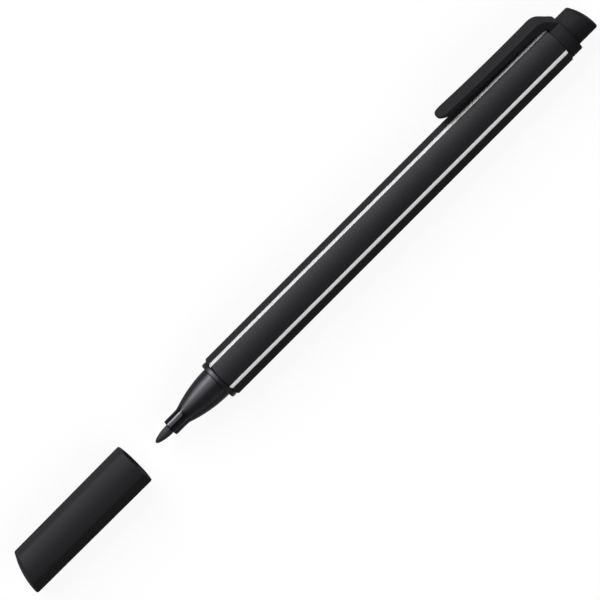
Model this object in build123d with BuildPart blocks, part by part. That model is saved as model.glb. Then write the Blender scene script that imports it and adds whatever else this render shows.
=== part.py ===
from build123d import *
import os
from math import cos, radians, sin, sqrt

# Sizes are in millimetres. X runs along the pen towards the end plug, Z points up from the table,
# and the origin lies on the narrow flat that the pen rests on, half way along the barrel.

# Body section of the barrel and the cap: three narrow flats joined by three crowned faces
flat_distance = 5.17            # pen axis to a narrow flat
flat_width = 3.80               # across a narrow flat, corner to corner
crown_distance = 5.05           # pen axis to the middle of a crowned face
corner_round = 1.0              # rounding of the six long corners

# Barrel
barrel_length = 107.2
barrel_wall = 1.37              # least wall, at the middle of a crowned face
core_rib_height = 0.35          # ribs in the bore that centre the ink core
core_rib_width = 0.8
core_rib_end = 1.0              # bare bore between a spigot and the end of the ribs

# Front section
collar_step = 0.03              # collar below the crowned faces
collar_length = 1.25
collar_chamfer = 0.2
cone_length = 11.0              # collar to the start of the nozzle
cone_fullness = 0.80            # radius half way along the cone, as a share from the nozzle up to the base
cone_round = 12.0               # soft bend half way along
cone_blend = 4.0                # hollow blend where the cone meets the nozzle
nozzle_radius = 2.06
nozzle_length = 4.0
nozzle_chamfer = 0.3
front_spigot_length = 8.0
front_bore_reach = 4.5          # how far the wide bore of the spigot runs on into the cone
spigot_wall = 1.0

# Nib
nib_radius = 1.15
nib_reach = 4.60                # nozzle to the point
nib_taper = 4.1                 # length of the bullet-shaped end
nib_fullness = 0.80             # radius half way along that end, as a share from the point up to the rod
nib_round = 5.0                 # soft bend half way along
nib_point_radius = 0.35
nib_point_chamfer = 0.2
nib_core_depth = 5.0            # how far the nib is pushed into the ink core
nib_tail_chamfer = 0.3

# Ink core
film_thickness = 0.12

# Clip and its ring
clip_angle = 30                 # direction of the clip, in degrees from +Y towards +Z
ring_length = 3.02
rim_chamfer = 0.2               # rear edge of the ring
clip_length = 34.4              # rear of the ring to the tip
clip_width = 5.4
clip_root_gap = 1.05            # barrel flat to the inside of the arm, where it bends to the ring
clip_tip_gap = 2.2              # the same, at the tip
clip_heel_gap = 0.15            # the same, at the heel
clip_heel_seat = 0.9            # length of the heel, along the barrel flat from the ring
clip_heel_run = 2.6             # ring to the inner bend
clip_root_thickness = 1.62
clip_tip_thickness = 1.1
clip_bow = 0.3                  # how far the middle of the outer face dips below a straight line
clip_tip_round = 2.2            # corners of the blunt tip, seen from above
clip_lead_in = 2.3              # length of the ramp under the tip
clip_lip = 0.25                 # flat left at the very tip, below the chamfered edge
clip_shoulder_run = 3.0         # length of the sloping shoulder
clip_shoulder_round = 4.0
clip_foot = 0.25                # height left at the end of the shoulder, above the edge of the ring
clip_heel_round = 2.0           # inner bend
clip_edge_chamfer = 0.3         # outer edges of the arm

# End plug
plug_reach = 5.5                # ring to the middle of the slanted end
plug_slant = 15                 # slant of the end, in degrees
plug_dome = 13.6                # radius of the domed end
plug_chamfer = 0.6              # round the end
plug_spigot_length = 7.0        # in the barrel
plug_end_wall = 1.2

# Cap and its sealing liner
cap_length = 35.85              # mouth to the middle of the slanted end
cap_slant = 17                  # slant of the closed end, in degrees
cap_dome = 20.4                 # radius of the domed end
cap_draft = 0.3                 # how much each side draws in towards the closed end, in degrees
cap_travel = 26.05              # from lying off, as modelled, to pushed on
cap_seat_gap = 0.1              # mouth to collar when pushed on
cap_wall = 0.97                 # least wall round the mouth
cap_socket_depth = 9.0          # wide part of the bore, which takes the cone or the plug
cap_bore_step = 0.4
cap_end_wall = 1.4
cap_end_chamfer = 0.4
cap_mouth_chamfer = 0.3         # turned chamfer round the outside of the mouth
cap_mouth_lead = 0.25           # lead-in chamfer of the bore
liner_wall = 0.8
liner_funnel = 0.7              # flared mouth that finds the nozzle
liner_flange_length = 1.2
nib_room = 0.6                  # nib point to the bottom of the liner when pushed on

# Clearances, on the radius unless said otherwise
push_clearance = 0.05           # spigots in the bore, liner in the cap
nib_clearance = 0.03            # nib in the nozzle and in the core
film_clearance = 0.03           # film round the core, and ribs round the film
core_end_clearance = 0.1        # lengthwise, at each end of the core
cap_clearance = 0.12            # cap on the cone
post_clearance = 0.06           # cap posted on the plug
seal_clearance = 0.1            # liner on the nozzle

# Places along the pen
axis_height = flat_distance
barrel_front = -barrel_length / 2
barrel_rear = barrel_length / 2
collar_front = barrel_front - collar_length
cone_bend = collar_front - cone_length / 2
nozzle_start = collar_front - cone_length
nozzle_front = nozzle_start - nozzle_length
nib_point = nozzle_front - nib_reach
nib_bend = nib_point + nib_taper / 2
nib_shoulder = nib_point + nib_taper
front_bore_end = collar_front - front_bore_reach
front_spigot_rear = barrel_front + front_spigot_length
ring_rear = barrel_rear + ring_length
plug_end = ring_rear + plug_reach
plug_spigot_front = barrel_rear - plug_spigot_length
core_front = front_spigot_rear + core_end_clearance
core_rear = plug_spigot_front - core_end_clearance
core_length = core_rear - core_front
nib_rear = core_front + nib_core_depth
cap_mouth = collar_front - cap_seat_gap - cap_travel
cap_socket_end = cap_mouth - cap_socket_depth
cap_end = cap_mouth - cap_length
liner_mouth = cap_mouth - cone_length
liner_floor = nib_point - cap_travel - nib_room
liner_end = liner_floor - liner_wall

# Radii that follow from the fits
bore_radius = crown_distance - barrel_wall
spigot_radius = bore_radius - push_clearance
spigot_bore_radius = spigot_radius - spigot_wall
rib_tip_radius = bore_radius - core_rib_height
film_radius = rib_tip_radius - film_clearance
core_radius = film_radius - film_thickness - film_clearance
collar_radius = crown_distance - collar_step
ring_radius = crown_distance
cap_bore_radius = crown_distance - cap_wall
cap_inner_radius = cap_bore_radius - cap_bore_step
cone_base_radius = cap_bore_radius - cap_clearance
cone_bend_radius = nozzle_radius + cone_fullness * (cone_base_radius - nozzle_radius)
plug_radius = cap_bore_radius - post_clearance
nib_bore_radius = nib_radius + nib_clearance
nib_bend_radius = nib_point_radius + nib_fullness * (nib_radius - nib_point_radius)
liner_bore_radius = nozzle_radius + seal_clearance
liner_radius = liner_bore_radius + liner_wall
liner_flange_radius = cap_inner_radius - push_clearance
corner_radius = sqrt(flat_distance ** 2 + (flat_width / 2) ** 2)

# The clip stands on one of the three flats, and the pen rests on another
flat_angles = (clip_angle - 120, clip_angle, clip_angle + 120)
clip_direction = Vector(0, 1, 0).rotate(Axis.X, clip_angle)

# Lengthwise holds the turned profiles, clip_side and clip_top hold the two outlines of the clip
pen_middle = (0, 0, axis_height)
pen_axis = Axis(pen_middle, (1, 0, 0))
lengthwise = Plane(origin=pen_middle, x_dir=(1, 0, 0), z_dir=(0, -1, 0))
clip_side = Plane(origin=pen_middle, x_dir=(1, 0, 0), z_dir=clip_direction.rotate(Axis.X, 90))
clip_top = Plane(origin=pen_middle, x_dir=(1, 0, 0), z_dir=clip_direction)


def across(station):
    """Plane square to the pen that faces the plug, with its own x along Y and its y along Z."""
    return Plane(origin=(station, 0, axis_height), x_dir=(0, 1, 0), z_dir=(1, 0, 0))


def slanted(station, facing, slant):
    """Plane of a slanted end that faces along X, leaning so that the clip's side is the short one."""
    lean = radians(slant)
    normal = Vector(facing, 0, 0) * cos(lean) + clip_direction * sin(lean)
    return Plane(origin=(station, 0, axis_height), z_dir=normal)


def body_section(station):
    """Outline of the barrel or the cap, cut square to the pen."""
    with BuildSketch(across(station)) as section:
        with BuildLine():
            for angle in flat_angles:
                flat_start = Vector(flat_distance, -flat_width / 2).rotate(Axis.Z, angle)
                flat_end = Vector(flat_distance, flat_width / 2).rotate(Axis.Z, angle)
                crown = Vector(crown_distance, 0).rotate(Axis.Z, angle + 60)
                Line(flat_start, flat_end)
                ThreePointArc(flat_end, crown, flat_start.rotate(Axis.Z, 120))
        make_face()
        fillet(section.vertices(), radius=corner_round)
    return section.sketch


def end_waste(plane, dome, reach):
    """What is cut away beyond a domed end whose middle lies on the plane."""
    with BuildPart(plane) as waste:
        Cylinder(radius=reach, height=2 * reach)
        with Locations((0, 0, -dome)):
            Sphere(radius=dome, mode=Mode.SUBTRACT)
    return waste.part


def soften(profile, corner, radius):
    """Round one corner of the profile that is being drawn."""
    fillet(profile.vertices().sort_by_distance(corner)[0], radius=radius)


def bevel(profile, corner, length):
    """Chamfer one corner of the profile that is being drawn."""
    chamfer(profile.vertices().sort_by_distance(corner)[0], length=length)


with BuildPart() as barrel:
    extrude(body_section(barrel_front), amount=barrel_length)
    # Turned 45 degree chamfers at both ends, which run out at the middle of the crowned faces
    chamfer_run = corner_radius - crown_distance
    with BuildSketch(lengthwise):
        with BuildLine():
            Polyline(
                (barrel_front, 0),
                (barrel_front, crown_distance),
                (barrel_front + chamfer_run, corner_radius),
                (barrel_rear - chamfer_run, corner_radius),
                (barrel_rear, crown_distance),
                (barrel_rear, 0),
                close=True,
            )
        make_face()
    revolve(axis=pen_axis, mode=Mode.INTERSECT)
    with BuildSketch(across(barrel_front)):
        Circle(bore_radius)
    extrude(amount=barrel_length, mode=Mode.SUBTRACT)
    # One rib under each flat, rooted half way into the wall
    rib_root = (flat_distance - bore_radius) / 2
    with BuildSketch(across(front_spigot_rear + core_rib_end)):
        for angle in flat_angles:
            with PolarLocations(rib_tip_radius, 1, start_angle=angle):
                Rectangle(core_rib_height + rib_root, core_rib_width, align=(Align.MIN, Align.CENTER))
    extrude(amount=plug_spigot_front - front_spigot_rear - 2 * core_rib_end)
barrel.part.label = "barrel"

with BuildPart() as front_section:
    with BuildSketch(lengthwise) as front_profile:
        with BuildLine():
            Polyline(
                (nozzle_start, nozzle_radius),
                (nozzle_front, nozzle_radius),
                (nozzle_front, nib_bore_radius),
                (front_bore_end, nib_bore_radius),
                (front_bore_end, spigot_bore_radius),
                (front_spigot_rear, spigot_bore_radius),
                (front_spigot_rear, spigot_radius),
                (barrel_front, spigot_radius),
                (barrel_front, collar_radius),
                (collar_front, collar_radius),
                (collar_front, cone_base_radius),
                (cone_bend, cone_bend_radius),
                close=True,
            )
        make_face()
        soften(front_profile, (cone_bend, cone_bend_radius), cone_round)
        soften(front_profile, (nozzle_start, nozzle_radius), cone_blend)
        bevel(front_profile, (nozzle_front, nozzle_radius), nozzle_chamfer)
        bevel(front_profile, (collar_front, collar_radius), collar_chamfer)
    revolve(axis=pen_axis)
front_section.part.label = "front_section"

with BuildPart() as nib:
    with BuildSketch(lengthwise) as nib_profile:
        with BuildLine():
            Polyline(
                (nib_point, nib_point_radius),
                (nib_point, 0),
                (nib_rear, 0),
                (nib_rear, nib_radius),
                (nib_shoulder, nib_radius),
                (nib_bend, nib_bend_radius),
                close=True,
            )
        make_face()
        soften(nib_profile, (nib_bend, nib_bend_radius), nib_round)
        bevel(nib_profile, (nib_point, nib_point_radius), nib_point_chamfer)
        bevel(nib_profile, (nib_rear, nib_radius), nib_tail_chamfer)
    revolve(axis=pen_axis)
nib.part.label = "nib"

with BuildPart() as ink_core:
    with BuildSketch(across(core_front)):
        Circle(core_radius)
    extrude(amount=core_length)
    # Hole that the nib opens as it is pushed in
    with BuildSketch(across(core_front)):
        Circle(nib_bore_radius)
    extrude(amount=nib_core_depth, mode=Mode.SUBTRACT)
ink_core.part.label = "ink_core"

with BuildPart() as core_film:
    with BuildSketch(across(core_front)):
        Circle(film_radius)
        Circle(film_radius - film_thickness, mode=Mode.SUBTRACT)
    extrude(amount=core_length)
core_film.part.label = "core_film"

with BuildPart() as clip:
    half_width = clip_width / 2
    tip = ring_rear - clip_length
    root_inside = flat_distance + clip_root_gap
    root_outside = root_inside + clip_root_thickness
    tip_inside = flat_distance + clip_tip_gap
    tip_outside = tip_inside + clip_tip_thickness
    # The shoulder runs out on the ring where the chamfer of its rim begins
    shoulder_end = ring_rear - rim_chamfer
    shoulder_start = shoulder_end - clip_shoulder_run
    shoulder_foot = sqrt(ring_radius ** 2 - half_width ** 2) + clip_foot
    bow_middle = ((shoulder_start + tip) / 2, (root_outside + tip_outside) / 2 - clip_bow)
    with BuildSketch(clip_side) as arm_profile:
        with BuildLine():
            Polyline(
                (shoulder_end, bore_radius),
                (shoulder_end, shoulder_foot),
                (shoulder_start, root_outside),
            )
            ThreePointArc((shoulder_start, root_outside), bow_middle, (tip, tip_outside))
            Polyline(
                (tip, tip_outside),
                (tip, tip_outside - clip_edge_chamfer - clip_lip),
                (tip + clip_lead_in, tip_inside),
                (barrel_rear - clip_heel_run, root_inside),
                (barrel_rear - clip_heel_seat, flat_distance + clip_heel_gap),
                (barrel_rear, flat_distance + clip_heel_gap),
                (barrel_rear, bore_radius),
                (shoulder_end, bore_radius),
            )
        make_face()
        soften(arm_profile, (shoulder_start, root_outside), clip_shoulder_round)
        soften(arm_profile, (barrel_rear - clip_heel_run, root_inside), clip_heel_round)
    extrude(amount=half_width, both=True)
    # Seen from above the arm is a strip with a blunt round tip
    with BuildSketch(clip_top) as arm_strip:
        with BuildLine():
            Polyline((tip, half_width), (ring_rear, half_width), (ring_rear, -half_width), (tip, -half_width),
                     close=True)
        make_face()
        soften(arm_strip, (tip, half_width), clip_tip_round)
        soften(arm_strip, (tip, -half_width), clip_tip_round)
    extrude(amount=2 * tip_outside, mode=Mode.INTERSECT)
    outer_faces = clip.faces().filter_by(lambda face: face.normal_at().dot(clip_direction) > 0.5)
    side_faces = clip.faces().filter_by(lambda face: abs(face.normal_at().dot(clip_direction)) < 0.01)
    long_walls = side_faces.filter_by(lambda face: face.normal_at().X < 0.9)
    chamfer(outer_faces.edges() & long_walls.edges(), length=clip_edge_chamfer)
    # Ring, held between the barrel and the head of the plug
    with BuildSketch(lengthwise) as ring_profile:
        with BuildLine():
            Polyline((barrel_rear, 0), (barrel_rear, ring_radius), (ring_rear, ring_radius), (ring_rear, 0),
                     close=True)
        make_face()
        bevel(ring_profile, (ring_rear, ring_radius), rim_chamfer)
    revolve(axis=pen_axis)
    with BuildSketch(across(barrel_rear)):
        Circle(bore_radius)
    extrude(amount=ring_length, mode=Mode.SUBTRACT)
clip.part.label = "clip"

with BuildPart() as plug_hollow:
    with BuildSketch(across(plug_spigot_front)):
        Circle(spigot_bore_radius)
    extrude(amount=plug_end + plug_radius - plug_spigot_front)
    split(bisect_by=slanted(plug_end, 1, plug_slant).offset(-plug_end_wall), keep=Keep.BOTTOM)

plug_waste = end_waste(slanted(plug_end, 1, plug_slant), plug_dome, 2 * plug_radius)

with BuildPart() as end_plug:
    # Head, drawn too long and cut to its slant
    with BuildSketch(across(ring_rear)):
        Circle(plug_radius)
    extrude(amount=plug_reach + plug_radius)
    add(plug_waste, mode=Mode.SUBTRACT)
    chamfer(end_plug.faces().sort_by(Axis.X)[-1].edges(), length=plug_chamfer)
    # Spigot through the ring into the barrel
    with BuildSketch(across(plug_spigot_front)):
        Circle(spigot_radius)
    extrude(amount=ring_rear - plug_spigot_front)
    add(plug_hollow.part, mode=Mode.SUBTRACT)
end_plug.part.label = "end_plug"

with BuildPart() as cap_hollow:
    hollow_limit = cap_end - corner_radius
    with BuildSketch(lengthwise):
        with BuildLine():
            Polyline(
                (cap_mouth, 0),
                (cap_mouth, cap_bore_radius + cap_mouth_lead),
                (cap_mouth - cap_mouth_lead, cap_bore_radius),
                (cap_socket_end, cap_bore_radius),
                (cap_socket_end - cap_bore_step, cap_inner_radius),
                (hollow_limit, cap_inner_radius),
                (hollow_limit, 0),
                close=True,
            )
        make_face()
    revolve(axis=pen_axis)
    split(bisect_by=slanted(cap_end, -1, cap_slant).offset(-cap_end_wall), keep=Keep.BOTTOM)

cap_waste = end_waste(slanted(cap_end, -1, cap_slant), cap_dome, 2 * corner_radius)

with BuildPart() as cap_shell:
    # Drawn too long and cut to its slant
    extrude(body_section(cap_mouth), amount=-(cap_length + corner_radius), taper=cap_draft)
    add(cap_waste, mode=Mode.SUBTRACT)
    chamfer(cap_shell.faces().sort_by(Axis.X)[0].edges(), length=cap_end_chamfer)
    with BuildSketch(lengthwise):
        with BuildLine():
            Polyline(
                (cap_mouth, 0),
                (cap_mouth, corner_radius - cap_mouth_chamfer),
                (cap_mouth - cap_mouth_chamfer, corner_radius),
                (hollow_limit, corner_radius),
                (hollow_limit, 0),
                close=True,
            )
        make_face()
    revolve(axis=pen_axis, mode=Mode.INTERSECT)
    add(cap_hollow.part, mode=Mode.SUBTRACT)
cap_shell.part.label = "cap_shell"

with BuildPart() as cap_liner:
    with BuildSketch(lengthwise):
        with BuildLine():
            Polyline(
                (liner_mouth, liner_bore_radius + liner_funnel),
                (liner_mouth, liner_flange_radius),
                (liner_mouth - liner_flange_length, liner_flange_radius),
                (liner_mouth - liner_flange_length, liner_radius),
                (liner_end + liner_flange_length, liner_radius),
                (liner_end + liner_flange_length, liner_flange_radius),
                (liner_end, liner_flange_radius),
                (liner_end, 0),
                (liner_floor, 0),
                (liner_floor, liner_bore_radius),
                (liner_mouth - liner_funnel, liner_bore_radius),
                close=True,
            )
        make_face()
    revolve(axis=pen_axis)
cap_liner.part.label = "cap_liner"

os.makedirs("parts", exist_ok=True)
for piece in (barrel, front_section, nib, ink_core, core_film, clip, end_plug, cap_shell, cap_liner):
    export_step(piece.part, f"parts/{piece.part.label}.step")
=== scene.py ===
import bmesh
import bpy
import numpy as np
from mathutils import Matrix, Vector


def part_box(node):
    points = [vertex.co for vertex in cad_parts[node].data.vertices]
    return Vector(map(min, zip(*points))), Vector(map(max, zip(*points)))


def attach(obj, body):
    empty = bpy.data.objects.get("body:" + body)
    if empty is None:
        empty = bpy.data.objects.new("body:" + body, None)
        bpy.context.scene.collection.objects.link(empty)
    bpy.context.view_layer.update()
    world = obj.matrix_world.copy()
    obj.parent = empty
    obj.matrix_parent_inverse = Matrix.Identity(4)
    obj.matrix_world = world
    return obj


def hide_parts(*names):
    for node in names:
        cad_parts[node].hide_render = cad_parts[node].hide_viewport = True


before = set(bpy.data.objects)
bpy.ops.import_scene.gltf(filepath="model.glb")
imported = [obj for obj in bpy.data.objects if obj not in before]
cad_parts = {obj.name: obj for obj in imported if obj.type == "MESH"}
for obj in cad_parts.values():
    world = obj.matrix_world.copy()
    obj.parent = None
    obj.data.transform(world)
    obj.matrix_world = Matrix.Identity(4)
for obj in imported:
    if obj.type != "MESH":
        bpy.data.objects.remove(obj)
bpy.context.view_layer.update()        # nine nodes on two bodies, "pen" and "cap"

mm = 0.001               # the dictionaries below are in millimetres, the scene is in metres
tiny = 1e-9
print("frame loaded:", len(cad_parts), "nodes")


# Sizes and places that the frame gives

def extent(node, axis):    # lowest and highest value of a node along one axis
    low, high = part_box(node)
    return low[axis] / mm, high[axis] / mm


barrelFront, barrelRear = extent("barrel", 0)
nozzleFront, spigotRear = extent("front_section", 0)
nibPoint, nibTail = extent("nib", 0)
clipTip, ringRear = extent("clip", 0)
plugTail = extent("end_plug", 0)[0]
capMouth = extent("cap_shell", 0)[1]
linerEnd, linerMouth = extent("cap_liner", 0)
collarLow, collarHigh = extent("front_section", 2)
axisHeight = (collarLow + collarHigh) / 2
collarRadius = (collarHigh - collarLow) / 2
flatDistance = axisHeight                        # the pen lies on one of its flats
crownDistance = extent("barrel", 2)[1] - axisHeight
nibRadius = np.ptp(extent("nib", 2)) / 2
plugRadius = np.ptp(extent("end_plug", 2)) / 2
linerFlangeRadius = np.ptp(extent("cap_liner", 2)) / 2


# Surfaces

# Each corner (x, r, rounding) of a profile becomes a parabola that touches both of its sides,
# (1-t)^2 A + 2t(1-t) C + t^2 B, with one more point on either side so that the flats stay flat.
# A rounding takes at most touchShare of the shorter side, and the point beside it flatShare more.
# x and r are numbers, or hold one value for each of count directions or stations.
def softProfile(corners, count, closed, steps=6, flatRun=0.12, touchShare=0.4, flatShare=0.09):
    table = np.empty((len(corners), count, 2))
    for row, (x, r, rounding) in zip(table, corners):
        row[:, 0], row[:, 1] = x, r
    rounding = np.array([corner[2] for corner in corners])[:, None, None]
    back = np.roll(table, 1, axis=0) - table
    ahead = np.roll(table, -1, axis=0) - table
    backRun = np.linalg.norm(back, axis=2, keepdims=True)
    aheadRun = np.linalg.norm(ahead, axis=2, keepdims=True)
    back /= np.maximum(backRun, tiny)
    ahead /= np.maximum(aheadRun, tiny)
    room = np.minimum(backRun, aheadRun)
    cosine = np.clip((back * ahead).sum(axis=2, keepdims=True), -1, 1)
    touch = rounding * np.sqrt((1 + cosine) / np.maximum(1 - cosine, tiny))
    touch = np.minimum(touch, touchShare * room)
    edge = touch + np.minimum(flatRun, flatShare * room)
    t = np.linspace(0, 1, steps)[:, None, None, None]
    start, end = table + back * touch, table + ahead * touch
    curve = (1 - t) ** 2 * start + 2 * t * (1 - t) * table + t ** 2 * end
    points = np.concatenate([(table + back * edge)[None], curve, (table + ahead * edge)[None]])
    points = points.transpose(1, 0, 2, 3).reshape(-1, count, 2)
    return points if closed else points[1:-1]


# The point at x along the pen and r from its axis, in the direction of each angle
def roundAxis(profile, angles):
    x, r = profile[..., 0], profile[..., 1]
    return np.stack([x + 0 * angles, r * np.cos(angles), axisHeight + r * np.sin(angles)], axis=-1)


skin = dict(mergeWithin=0.0005, sharpAngle=40)


# A grid of points as a closed mesh: columns go round, and rows either go round too or end in poles
def makeSkin(name, points, loop, body, node):
    rows, columns = points.shape[:2]
    ids = np.arange(rows * columns).reshape(rows, columns)
    ids = np.hstack([ids, ids[:, :1]])
    ids = np.vstack([ids, ids[:1]]) if loop else ids
    quads = np.stack([ids[:-1, :-1], ids[:-1, 1:], ids[1:, 1:], ids[1:, :-1]], axis=2)
    mesh = bpy.data.meshes.new(name)
    mesh.from_pydata((points.reshape(-1, 3) * mm).tolist(), [], quads.reshape(-1, 4).tolist())
    work = bmesh.new()
    work.from_mesh(mesh)
    bmesh.ops.remove_doubles(work, verts=work.verts, dist=skin["mergeWithin"] * mm)
    bmesh.ops.recalc_face_normals(work, faces=work.faces)
    work.to_mesh(mesh)
    work.free()
    mesh.shade_smooth()
    mesh.set_sharp_from_angle(angle=np.radians(skin["sharpAngle"]))
    piece = bpy.data.objects.new(name, mesh)
    bpy.context.scene.collection.objects.link(piece)
    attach(piece, body)
    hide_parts(node)
    return piece


# Body section of the barrel and the cap: flats joined by crowned faces, with rounded corners.
# Half of one third is a flat, a corner arc and half a crown arc; it is mirrored, then turned three times.
bodyShape = dict(flatWidth=3.8, cornerRound=1.02, clipAngle=30, flatPoints=7, cornerPoints=9,
                 crownPoints=18)


def bodyOutline(flatWidth, cornerRound, clipAngle, flatPoints, cornerPoints, crownPoints):
    sixth = np.radians(60)
    third = np.exp(2j * sixth)
    corner = flatDistance + 0.5j * flatWidth
    fromCrown = corner * np.exp(-1j * sixth)
    rise = crownDistance - fromCrown.real
    crownRadius = (rise ** 2 + fromCrown.imag ** 2) / (2 * rise)
    crownCentre = (crownDistance - crownRadius) * np.exp(1j * sixth)
    inset = flatDistance - cornerRound
    aside = np.sqrt((crownRadius - cornerRound) ** 2 - (inset - crownCentre.real) ** 2)
    halfFlat = crownCentre.imag + aside
    cornerCentre = inset + 1j * halfFlat
    cornerTurn = np.angle(cornerCentre - crownCentre)
    flat = flatDistance + 1j * np.linspace(0, halfFlat, flatPoints)[:-1]
    bend = cornerCentre + cornerRound * np.exp(1j * np.linspace(0, cornerTurn, cornerPoints)[:-1])
    crown = crownCentre + crownRadius * np.exp(1j * np.linspace(cornerTurn, sixth, crownPoints))
    half = np.concatenate([flat, bend, crown])
    wholeThird = np.concatenate([half, (np.conj(half) * third)[-2:0:-1]])
    turns = np.exp(1j * np.radians(clipAngle)) * third ** np.arange(-1, 2)
    return (turns[:, None] * wholeThird).ravel()


outline = bodyOutline(**bodyShape)
bodyAngles, bodyRadius = np.angle(outline), np.abs(outline)
cornerRadius = np.hypot(flatDistance, bodyShape["flatWidth"] / 2)
cornerAngle = np.degrees(np.arctan2(bodyShape["flatWidth"] / 2, flatDistance))
clipLean = np.radians(bodyShape["clipAngle"])
roundPoints = 192
roundAngles = np.linspace(0, 2 * np.pi, roundPoints, endpoint=False)


# How far a domed end lies back at r from the axis: a sphere of radius R about a centre that is off the
# axis by R sin(slant), so that the end is short on the clip's side; wall is how far inside the end it is
def endDepth(slant, dome, wall, r, angles):
    lean = np.radians(slant)
    aside = r * np.cos(angles - clipLean) + dome * np.sin(lean)
    upright = r * np.sin(angles - clipLean)
    return dome * np.cos(lean) - np.sqrt((dome - wall) ** 2 - aside ** 2 - upright ** 2)


domeRings = np.linspace(0.1, 0.6, 6)       # shares of an end's radius; the rest is for its rounded edge
barrelShape = dict(bore=3.68, edge=0.12)


def makeBarrel(bore, edge):
    run = bodyRadius - crownDistance       # turned chamfer at 45 degrees, none on the crowns
    corners = [
        (barrelFront, bore, 0),
        (barrelFront, crownDistance - edge, edge),
        (barrelFront + run + edge, bodyRadius, edge),
        (barrelRear - run - edge, bodyRadius, edge),
        (barrelRear, crownDistance - edge, edge),
        (barrelRear, bore, 0),
    ]
    points = roundAxis(softProfile(corners, outline.size, True), bodyAngles)
    return makeSkin("barrel_tube", points, True, "pen", "barrel")


frontShape = dict(coneLength=11.0, coneBase=3.96, baseGap=0.05, baseRound=0.03, collarLength=1.25,
                  collarRound=0.35, nozzleRadius=2.06, nozzleRound=0.35, blend=0.14, blendRun=1.8,
                  nibBore=1.18, spigotRadius=3.63, spigotBore=2.63, spigotRound=0.2, boreReach=4.5,
                  boreRound=0.1, seatRound=0.05, conePoints=48)


# The cone is an arc that leaves the collar along the pen, r = base - R + sqrt(R^2 - x^2), and a smooth
# maximum, (a + b + sqrt((a - b)^2 + s^2)) / 2, hands it over to the nozzle
def makeFrontSection(coneLength, coneBase, baseGap, baseRound, collarLength, collarRound, nozzleRadius,
                     nozzleRound, blend, blendRun, nibBore, spigotRadius, spigotBore, spigotRound,
                     boreReach, boreRound, seatRound, conePoints):
    collarFront = barrelFront - collarLength
    drop = coneBase - nozzleRadius
    coneRadius = (coneLength ** 2 + drop ** 2) / (2 * drop)
    x = np.linspace(-coneLength - blendRun, -baseGap, conePoints)
    arc = coneBase - coneRadius + np.sqrt(coneRadius ** 2 - x ** 2)
    r = (arc + nozzleRadius + np.sqrt((arc - nozzleRadius) ** 2 + blend ** 2)) / 2
    cone = [(collarFront + along, radius, 0) for along, radius in zip(x, r)]
    corners = [
        (nozzleFront, nibBore, seatRound),
        (nozzleFront, nozzleRadius, nozzleRound),
        *cone,
        (collarFront, coneBase, baseRound),
        (collarFront, collarRadius, collarRound),
        (barrelFront, collarRadius, collarRound),
        (barrelFront, spigotRadius, seatRound),
        (spigotRear, spigotRadius, spigotRound),
        (spigotRear, spigotBore, spigotRound),
        (collarFront - boreReach, spigotBore, boreRound),
        (collarFront - boreReach, nibBore, 0),
    ]
    points = roundAxis(softProfile(corners, 1, True), roundAngles)
    return makeSkin("front_cone", points, True, "pen", "front_section")


nibShape = dict(taper=4.1, pointRadius=0.35, tailRound=0.3, points=40)


# Bullet: an arc that leaves the rod along the pen, drawn in to a round point by a quarter circle
def makeNib(taper, pointRadius, tailRound, points):
    drop = nibRadius - pointRadius
    arcRadius = (taper ** 2 + drop ** 2) / (2 * drop)
    s = taper * (1 - np.cos(np.linspace(0, np.pi / 2, points)))[1:]
    ogive = nibRadius - arcRadius + np.sqrt(arcRadius ** 2 - (taper - s) ** 2)
    r = ogive * np.sqrt(1 - (1 - np.minimum(s / (2 * pointRadius), 1)) ** 2)
    bullet = [(nibPoint + along, radius, 0) for along, radius in zip(s, r)]
    corners = [(nibPoint, 0, 0), *bullet, (nibTail, nibRadius, tailRound), (nibTail, 0, 0)]
    grid = roundAxis(softProfile(corners, 1, False), roundAngles)
    return makeSkin("fibre_nib", grid, False, "pen", "nib")


plugShape = dict(reach=5.5, slant=15, dome=13.6, endRound=0.8, seatRound=0.05, spigotRadius=3.63,
                 neckRound=0.02, tailRound=0.2)


# From the middle of the domed end, over the head and the ring's seat, to the tail of the spigot
def makeEndPlug(reach, slant, dome, endRound, seatRound, spigotRadius, neckRound, tailRound):
    endMiddle = ringRear + reach
    end = [(endMiddle - endDepth(slant, dome, 0, part * plugRadius, roundAngles), part * plugRadius, 0)
           for part in domeRings]
    corners = [
        (endMiddle, 0, 0),
        *end,
        (endMiddle - endDepth(slant, dome, 0, plugRadius, roundAngles), plugRadius, endRound),
        (ringRear, plugRadius, seatRound),
        (ringRear, spigotRadius, neckRound),
        (plugTail, spigotRadius, tailRound),
        (plugTail, 0, 0),
    ]
    grid = roundAxis(softProfile(corners, roundAngles.size, False), roundAngles)
    return makeSkin("plug_head", grid, False, "pen", "end_plug")


capShape = dict(length=35.85, slant=17, dome=20.4, draft=0.3, endWall=1.4, endRound=0.65, bore=4.08,
                innerBore=3.68, floorRound=0.3, socketDepth=9.0, boreStep=0.4, stepRound=0.05,
                mouthLead=0.25, leadRound=0.04, mouthChamfer=0.3, edge=0.07)


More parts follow.
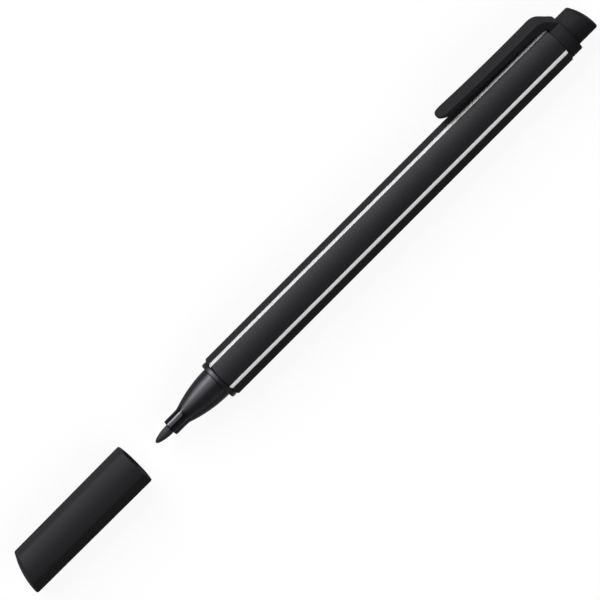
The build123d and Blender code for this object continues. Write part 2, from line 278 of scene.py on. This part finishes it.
# From the middle of the closed end inside, along the bore to the mouth, and back along the outside
def makeCapShell(length, slant, dome, draft, endWall, endRound, bore, innerBore, floorRound, socketDepth,
                 boreStep, stepRound, mouthLead, leadRound, mouthChamfer, edge):
    endMiddle = capMouth - length
    endRadius = bodyRadius - length * np.tan(np.radians(draft))
    socketEnd = capMouth - socketDepth
    chamfer = np.maximum(bodyRadius - (cornerRadius - mouthChamfer), edge)

    def endAt(wall, r):
        return endMiddle + endDepth(slant, dome, wall, r, bodyAngles)

    inside = [(endAt(endWall, part * innerBore), part * innerBore, 0) for part in domeRings]
    outside = [(endAt(0, part * endRadius), part * endRadius, 0) for part in domeRings[::-1]]
    corners = [
        (endAt(endWall, 0), 0, 0),
        *inside,
        (endAt(endWall, innerBore), innerBore, floorRound),
        (socketEnd - boreStep, innerBore, stepRound),
        (socketEnd, bore, stepRound),
        (capMouth - mouthLead, bore, stepRound),
        (capMouth, bore + mouthLead, leadRound),
        (capMouth, bodyRadius - chamfer, edge),
        (capMouth - chamfer, bodyRadius, edge),
        (endAt(0, endRadius), endRadius, endRound),
        *outside,
        (endMiddle, 0, 0),
    ]
    grid = roundAxis(softProfile(corners, outline.size, False), bodyAngles)
    return makeSkin("cap_sleeve", grid, False, "cap", "cap_shell")


linerShape = dict(bore=2.16, wall=0.8, floorRound=0.4, funnel=0.7, neckRound=0.2, flange=1.2, edge=0.08)


# From the middle of the cup's floor, out through its funnel, and back over the two flanges
def makeCapLiner(bore, wall, floorRound, funnel, neckRound, flange, edge):
    corners = [
        (linerEnd + wall, 0, 0),
        (linerEnd + wall, bore, floorRound),
        (linerMouth - funnel, bore, neckRound),
        (linerMouth, bore + funnel, edge),
        (linerMouth, linerFlangeRadius, edge),
        (linerMouth - flange, linerFlangeRadius, edge),
        (linerMouth - flange, bore + wall, neckRound),
        (linerEnd + flange, bore + wall, neckRound),
        (linerEnd + flange, linerFlangeRadius, edge),
        (linerEnd, linerFlangeRadius, edge),
        (linerEnd, 0, 0),
    ]
    grid = roundAxis(softProfile(corners, 1, False), roundAngles)
    return makeSkin("seal_cup", grid, False, "cap", "cap_liner")


ringShape = dict(radius=5.05, bore=3.68, rimRound=0.25, edge=0.06)


def makeClipRing(radius, bore, rimRound, edge):
    corners = [
        (barrelRear, bore, 0),
        (barrelRear, radius, edge),
        (ringRear, radius, rimRound),
        (ringRear, bore, 0),
    ]
    points = roundAxis(softProfile(corners, 1, True), roundAngles)
    return makeSkin("clip_ring", points, True, "pen", "clip")


armShape = dict(width=5.36, rootGap=0.85, rootThickness=1.90, tipGap=2.2, tipThickness=1.03,
                leastThickness=0.1, bow=0.25, innerBow=0.2, tipRound=2.2, tipLine=0.55, noseRound=0.8,
                noseLean=0.02, leadIn=1.6, leadRound=0.8, heelGap=0.15, heelSeat=0.9, heelRun=2.6,
                heelRound=2.0, seatRound=0.4, shoulderRun=3.0, shoulderRound=4.0, foot=0.25, rim=0.2,
                buried=4.2, buriedStep=0.01, edge=0.48, upperEdge=0.37, underEdge=0.15, nosePoints=36,
                armPoints=150, lineSteps=12)


# Stations along the arm carry a rounded four-sided section between an inner and an outer line. It is
# as wide as the strip, and near the tip as wide as its rounded corners c leave it there,
# h - c + sqrt(c^2 - (c - s)^2). Both lines dip by 4 bow t (1 - t) between the tip and the shoulder,
# and the inner one ends inside the ring.
def makeClipArm(width, rootGap, rootThickness, tipGap, tipThickness, leastThickness, bow, innerBow, tipRound,
                tipLine, noseRound, noseLean, leadIn, leadRound, heelGap, heelSeat, heelRun, heelRound,
                seatRound, shoulderRun, shoulderRound, foot, rim, buried, buriedStep, edge, upperEdge,
                underEdge, nosePoints, armPoints, lineSteps):
    half = width / 2
    rear = ringRear - rim
    ringEdge = np.sqrt(ringShape["radius"] ** 2 - half ** 2)
    rootInside = flatDistance + rootGap
    tipInside = flatDistance + tipGap
    tipOutside = tipInside + tipThickness
    outerLine = softProfile([
        (clipTip, tipOutside - 2 * noseRound, 0),
        (clipTip + noseLean, tipOutside, noseRound),
        (rear - shoulderRun, rootInside + rootThickness, shoulderRound),
        (rear, ringEdge + foot, 0),
    ], 1, False, lineSteps)[:, 0].T
    innerLine = softProfile([
        (clipTip, tipOutside - tipLine, 0),
        (clipTip + leadIn, tipInside, leadRound),
        (barrelRear - heelRun, rootInside, heelRound),
        (barrelRear - heelSeat, flatDistance + heelGap, seatRound),
        (barrelRear, flatDistance + heelGap, 0),
        (barrelRear + buriedStep, buried, 0),
        (rear, buried, 0),
    ], 1, False, lineSteps)[:, 0].T
    nose = clipTip + tipRound * (1 - np.cos(np.linspace(0, np.pi / 2, nosePoints)))
    strip = np.linspace(clipTip + tipRound, rear, armPoints)
    x = np.union1d(np.concatenate([nose, strip]), [barrelRear, barrelRear + buriedStep])
    wide = half - tipRound + np.sqrt(tipRound ** 2 - np.maximum(tipRound - (x - clipTip), 0) ** 2)
    t = np.clip((x - clipTip) / (rear - shoulderRun - clipTip), 0, 1)
    dip = 4 * t * (1 - t)
    low = np.interp(x, *innerLine) - innerBow * dip
    high = np.maximum(np.interp(x, *outerLine) - bow * dip, low + leastThickness)
    section = softProfile([
        (-wide, low, underEdge),
        (wide, low, underEdge),
        (wide, high, upperEdge),
        (-wide, high, edge),
    ], x.size, True)
    across, out = section[..., 0].T, section[..., 1].T
    y = out * np.cos(clipLean) - across * np.sin(clipLean)
    z = axisHeight + out * np.sin(clipLean) + across * np.cos(clipLean)
    points = np.stack([x[:, None] + 0 * y, y, z], axis=-1)
    poles = np.broadcast_to(points[[0, -1]].mean(axis=1, keepdims=True), (2, *points.shape[1:]))
    points = np.concatenate([poles[:1], points, poles[1:]])
    return makeSkin("clip_arm", points, False, "pen", "clip")


barrelTube = makeBarrel(**barrelShape)
frontCone = makeFrontSection(**frontShape)
fibreNib = makeNib(**nibShape)
plugHead = makeEndPlug(**plugShape)
capSleeve = makeCapShell(**capShape)
sealCup = makeCapLiner(**linerShape)
clipRing = makeClipRing(**ringShape)
clipArm = makeClipArm(**armShape)
print("surfaces made")


# Finishes

class Wire:    # a socket that can stand in an expression
    def __init__(self, finish, socket):
        self.finish = finish
        self.socket = socket

    def work(self, operation, left, right):
        return self.finish.node("Math", {"operation": operation}, {0: left, 1: right})

    def __add__(self, other):
        return self.work("ADD", self, other)

    def __sub__(self, other):
        return self.work("SUBTRACT", self, other)

    def __rsub__(self, other):
        return self.work("SUBTRACT", other, self)

    def __mul__(self, other):
        return self.work("MULTIPLY", self, other)

    def __pow__(self, other):
        return self.work("POWER", self, other)

    __radd__ = __add__
    __rmul__ = __mul__


class Finish:    # one material; node() adds a node by its type, its settings and its sockets
    def __init__(self, name):
        self.material = bpy.data.materials.new(name)
        self.material.use_nodes = True
        self.tree = self.material.node_tree
        self.tree.nodes.clear()

    def node(self, kind, settings=None, sockets=None, output=0):
        made = self.tree.nodes.new("ShaderNode" + kind)
        for key, value in (settings or {}).items():
            setattr(made, key, value)
        for key, value in (sockets or {}).items():
            if isinstance(value, Wire):
                self.tree.links.new(value.socket, made.inputs[key])
            else:
                made.inputs[key].default_value = value
        return Wire(self, made.outputs[output]) if made.outputs else made

    def place(self):
        return self.node("TexCoord", output="Object")

    def axes(self):    # the place as x, y and z
        at = self.node("SeparateXYZ", None, {0: self.place()})
        return [Wire(self, socket) for socket in at.socket.node.outputs]

    # Blobs of a size in millimetres; along under 1 draws them out along the pen
    def noise(self, size, detail=2.0, along=1.0):
        at = self.node("Mapping", None, {"Vector": self.place(), "Scale": (along, 1, 1)})
        return self.node("TexNoise", None, {"Vector": at, "Scale": 1 / (size * mm), "Detail": detail})

    def step(self, value, low, high, start=0.0, end=1.0):    # smooth step from start to end
        sockets = {0: value, 1: low, 2: high, 3: start, 4: end}
        return self.node("MapRange", {"interpolation_type": "SMOOTHSTEP"}, sockets)

    def mix(self, factor, first, second):
        return self.node("Mix", {"data_type": "RGBA"}, {0: factor, 6: first, 7: second}, 2)

    def bump(self, height, depth):    # depth in millimetres
        return self.node("Bump", None, {"Height": height, "Distance": depth * mm, "Strength": 1.0})

    def shade(self, **sockets):
        named = {key.replace("_", " "): value for key, value in sockets.items()}
        return self.node("BsdfPrincipled", None, named)

    def dress(self, shader, *pieces):
        self.node("OutputMaterial", None, {"Surface": shader})
        for piece in pieces:
            piece.data.materials.clear()
            piece.data.materials.append(self.material)


def colour(red, green, blue):
    return (red, green, blue, 1.0)


# In each finish, roughness is the least there is, and a swing is what a pattern adds to it
satin = dict(dark=colour(0.0042, 0.0041, 0.0047), pale=colour(0.0094, 0.0092, 0.0101), roughness=0.56,
             specular=0.025, grainSize=0.11, grainDepth=0.011, speckRange=(0.38, 0.62), speckShare=0.6,
             cloudSize=7.0, cloudAlong=0.4, cloudSwing=0.12, hairSize=0.25, hairAlong=0.02,
             hairRange=(0.62, 0.8), hairSwing=0.05, hairDepth=0.3)
softSatin = dict(satin, roughness=0.65, specular=0.026)    # the cap is a little duller than the barrel,
matte = dict(satin, roughness=0.72, specular=0.023)        # the clip and the plug a little more so


# Moulded satin black: a fine grain, slow clouds of gloss and faint hairlines along the pen
def satinNodes(finish, look):
    grain = finish.noise(look["grainSize"])
    cloud = finish.noise(look["cloudSize"], detail=3.0, along=look["cloudAlong"])
    hair = finish.noise(look["hairSize"], detail=1.0, along=look["hairAlong"])
    hair = finish.step(hair, *look["hairRange"])
    speck = finish.step(grain, *look["speckRange"])
    share = look["speckShare"]
    tone = finish.mix((1 - share) * cloud + share * speck, look["dark"], look["pale"])
    rough = look["roughness"] + look["cloudSwing"] * cloud + look["hairSwing"] * hair
    height = grain - look["hairDepth"] * hair
    return tone, rough, height


def dressSatin(name, look, *pieces):
    finish = Finish(name)
    tone, rough, height = satinNodes(finish, look)
    shader = finish.shade(
        Base_Color=tone,
        Roughness=rough,
        Specular_IOR_Level=look["specular"],
        Normal=finish.bump(height, look["grainDepth"]),
    )
    finish.dress(shader, *pieces)


stripe = dict(ink=colour(0.90, 0.90, 0.89), worn=colour(0.84, 0.84, 0.83), roughness=0.5, width=1.02,
              soft=0.03, margin=0.25, thickness=0.02, wearSize=0.3, wearAlong=0.2, ragged=0.05,
              raggedSize=0.5, raggedAlong=0.3)


# Barrel: the same satin, with a white stripe printed along each corner beside the upper crowned face,
# where the distance from the corner's line is under half its width
def dressBarrel(piece):
    finish = Finish("satin_black_with_stripes")
    tone, rough, height = satinNodes(finish, satin)
    x, y, z = finish.axes()
    half, soft = stripe["width"] / 2 * mm, stripe["soft"] * mm
    last = (barrelRear - stripe["margin"]) * mm
    waver = finish.noise(stripe["raggedSize"], detail=3.0, along=stripe["raggedAlong"])
    waver = (waver - 0.5) * (stripe["ragged"] * mm)
    clipFlat = bodyShape["clipAngle"]
    nextFlat = clipFlat + 120              # the flats are a third of a turn apart
    printed = 0
    for angle in (clipFlat + cornerAngle, nextFlat - cornerAngle):
        cornerY = cornerRadius * np.cos(np.radians(angle)) * mm
        cornerZ = (axisHeight + cornerRadius * np.sin(np.radians(angle))) * mm
        distance = ((y - cornerY) ** 2 + (z - cornerZ) ** 2) ** 0.5 + waver
        printed = printed + finish.step(distance, half - soft, half + soft, 1.0, 0.0)
    printed = printed * finish.step(x, last - soft, last + soft, 1.0, 0.0)
    wear = finish.noise(stripe["wearSize"], detail=4.0, along=stripe["wearAlong"])
    ink = finish.mix(wear, stripe["worn"], stripe["ink"])
    relief = height * (satin["grainDepth"] / stripe["thickness"]) + printed
    shader = finish.shade(
        Base_Color=finish.mix(printed, tone, ink),
        Roughness=rough * (1 - printed) + stripe["roughness"] * printed,
        Specular_IOR_Level=satin["specular"],
        Normal=finish.bump(relief, stripe["thickness"]),
    )
    finish.dress(shader, piece)


gloss = dict(dark=colour(0.0040, 0.0040, 0.0050), pale=colour(0.0060, 0.0060, 0.0070), specular=0.042,
             nozzleRoughness=0.05, coneRoughness=0.35, polishRun=2.0, smearSize=2.5, smearSwing=0.1,
             waveSize=1.6, waveAlong=0.5, waveDepth=0.012)


# Glossy black of the front section, most polished on the nozzle, with the slight waviness of a moulding
def dressGloss(piece):
    finish = Finish("gloss_black")
    wave = finish.noise(gloss["waveSize"], detail=1.0, along=gloss["waveAlong"])
    smear = finish.noise(gloss["smearSize"], detail=4.0)
    x = finish.axes()[0]
    coneFront = barrelFront - frontShape["collarLength"] - frontShape["coneLength"]
    polished, dulled = coneFront * mm, (coneFront + gloss["polishRun"]) * mm
    polish = finish.step(x, polished, dulled, gloss["nozzleRoughness"], gloss["coneRoughness"])
    shader = finish.shade(
        Base_Color=finish.mix(smear, gloss["dark"], gloss["pale"]),
        Roughness=polish + gloss["smearSwing"] * smear,
        Specular_IOR_Level=gloss["specular"],
        Normal=finish.bump(wave, gloss["waveDepth"]),
    )
    finish.dress(shader, piece)


fibre = dict(dark=colour(0.006, 0.006, 0.008), pale=colour(0.028, 0.028, 0.030), roughness=0.45,
             specular=0.03, strandSize=0.09, strandAlong=0.12, strandRange=(0.3, 0.7), strandShare=0.6,
             strandSwing=0.15, strandDepth=0.035, blotchSize=0.6)


# Bonded fibre of the nib: fine strands along the pen, ground to a point and soaked with ink
def dressFibre(*pieces):
    finish = Finish("inked_fibre")
    strands = finish.noise(fibre["strandSize"], detail=3.0, along=fibre["strandAlong"])
    strands = finish.step(strands, *fibre["strandRange"])
    blotch = finish.noise(fibre["blotchSize"])
    share = fibre["strandShare"]
    shader = finish.shade(
        Base_Color=finish.mix(share * strands + (1 - share) * blotch, fibre["dark"], fibre["pale"]),
        Roughness=fibre["roughness"] + fibre["strandSwing"] * strands,
        Specular_IOR_Level=fibre["specular"],
        Normal=finish.bump(strands, fibre["strandDepth"]),
    )
    finish.dress(shader, *pieces)


seal = dict(dark=colour(0.016, 0.016, 0.018), pale=colour(0.030, 0.030, 0.033), roughness=0.55,
            specular=0.05, cloudSize=1.5, bloomSize=0.12, bloomShare=0.3, bloomSwing=0.1, bloomDepth=0.008)


# Dark soft plastic of the seal cup: slow clouds under a fine bloom
def dressSeal(piece):
    finish = Finish("dark_seal")
    cloud = finish.noise(seal["cloudSize"], detail=3.0)
    bloom = finish.noise(seal["bloomSize"])
    share = seal["bloomShare"]
    shader = finish.shade(
        Base_Color=finish.mix((1 - share) * cloud + share * bloom, seal["dark"], seal["pale"]),
        Roughness=seal["roughness"] + seal["bloomSwing"] * bloom,
        Specular_IOR_Level=seal["specular"],
        Normal=finish.bump(bloom, seal["bloomDepth"]),
    )
    finish.dress(shader, piece)


film = dict(dark=colour(0.66, 0.66, 0.65), pale=colour(0.80, 0.80, 0.79), roughness=0.25, opacity=0.45,
            drawSize=0.2, drawAlong=0.02, drawSwing=0.1, drawDepth=0.004)


# Clear film round the wadding, with faint lines from drawing it
def dressFilm(piece):
    finish = Finish("clear_film")
    drawn = finish.noise(film["drawSize"], along=film["drawAlong"])
    shader = finish.shade(
        Base_Color=finish.mix(drawn, film["dark"], film["pale"]),
        Roughness=film["roughness"] + film["drawSwing"] * drawn,
        Alpha=film["opacity"],
        Normal=finish.bump(drawn, film["drawDepth"]),
    )
    finish.dress(shader, piece)


dressBarrel(barrelTube)
dressSatin("soft_satin_black", softSatin, capSleeve)
dressSatin("matte_black", matte, plugHead, clipRing, clipArm)
dressGloss(frontCone)
dressFibre(fibreNib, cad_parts["ink_core"])
dressSeal(sealCup)
dressFilm(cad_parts["core_film"])
print("finishes made")


# Floor, light and camera, in metres

floor = dict(size=6.0, white=colour(0.15, 0.15, 0.15), glow=0.88)


# White floor: part of its white is its own to the eye, so that the shadow on it stays pale
def makeFloor(size, white, glow):
    corners = np.array([(-1, -1, 0), (1, -1, 0), (1, 1, 0), (-1, 1, 0)]) * size / 2
    mesh = bpy.data.meshes.new("floor")
    mesh.from_pydata(corners.tolist(), [], [(0, 1, 2, 3)])
    piece = bpy.data.objects.new("floor", mesh)
    bpy.context.scene.collection.objects.link(piece)
    finish = Finish("floor_white")
    lit = finish.node("BsdfDiffuse", None, {"Color": white})
    seen, mirrored, through = [finish.node("LightPath", output=name) for name in
                               ("Is Camera Ray", "Is Glossy Ray", "Is Transmission Ray")]
    own = finish.node("Emission", None, {"Strength": glow * (seen + mirrored + through)})
    finish.dress(finish.node("AddShader", None, {0: lit, 1: own}), piece)


# Lamps: angle from straight up, towards +Y or -Y; the pen lies along X.
# The last three are cool and only show in reflections.
plain = (1.0, 1.0, 1.0)
cool = (1.0, 0.98, 1.07)
lamps = dict(
    key=dict(angle=51, distance=1.2, length=1.2, depth=1.2, radiance=2.75, tint=plain, lights=True),
    fill=dict(angle=-50, distance=1.2, length=2.4, depth=0.9, radiance=1.65, tint=plain, lights=True),
    sheen=dict(angle=56, distance=1.25, length=1.8, depth=0.42, radiance=103.0, tint=cool, lights=False),
    veil=dict(angle=32, distance=1.25, length=1.8, depth=1.3, radiance=20.0, tint=cool, lights=False),
    edge=dict(angle=-78, distance=1.25, length=2.4, depth=0.25, radiance=11.0, tint=cool, lights=False),
)
roomLight = 0.13


def makeLamp(name, angle, distance, length, depth, radiance, tint, lights):
    data = bpy.data.lights.new(name, "AREA")
    data.shape = "RECTANGLE"
    data.size, data.size_y = length, depth
    data.energy = radiance * np.pi * length * depth
    data.color = tint
    lamp = bpy.data.objects.new(name, data)
    bpy.context.scene.collection.objects.link(lamp)
    tilt = np.radians(angle)
    lamp.location = (0, distance * np.sin(tilt), distance * np.cos(tilt))
    lamp.rotation_euler = (-tilt, 0, 0)
    lamp.visible_camera = False
    lamp.visible_diffuse = lights


def makeRoom(strength):
    world = bpy.data.worlds.new("room")
    world.use_nodes = True
    background = world.node_tree.nodes["Background"]
    background.inputs["Color"].default_value = colour(1.0, 1.0, 1.0)
    background.inputs["Strength"].default_value = strength
    bpy.context.scene.world = world


# The camera looks almost straight down; the pen runs up to the right at 45 degrees.
# Its aim, its sensor and what it sees across are in millimetres.
view = dict(tipTowardsX=1.4, tipTowardsY=-3.4, aim=(-28.6, -0.22, 5.17), distance=0.95, across=135.4,
            sensor=36.0, near=0.1, far=20.0)


def makeCamera(tipTowardsX, tipTowardsY, aim, distance, across, sensor, near, far):
    data = bpy.data.cameras.new("camera")
    data.sensor_width = sensor
    data.lens = sensor * distance / (across * mm)
    data.clip_start, data.clip_end = near, far
    back = Vector((np.tan(np.radians(tipTowardsX)), np.tan(np.radians(tipTowardsY)), 1.0)).normalized()
    alongPen = Vector((1, 0, 0)) - back * back.x
    alongPen.normalize()
    acrossPen = back.cross(alongPen)
    right = (alongPen - acrossPen).normalized()
    up = (alongPen + acrossPen).normalized()
    place = Matrix((right, up, back)).transposed().to_4x4()
    place.translation = Vector(aim) * mm + back * distance
    camera = bpy.data.objects.new("camera", data)
    bpy.context.scene.collection.objects.link(camera)
    camera.matrix_world = place
    bpy.context.scene.camera = camera


makeFloor(**floor)
for lampName, lamp in lamps.items():
    makeLamp(lampName, **lamp)
makeRoom(roomLight)
makeCamera(**view)
bpy.context.scene.view_settings.view_transform = "Standard"
print("floor, light and camera set")
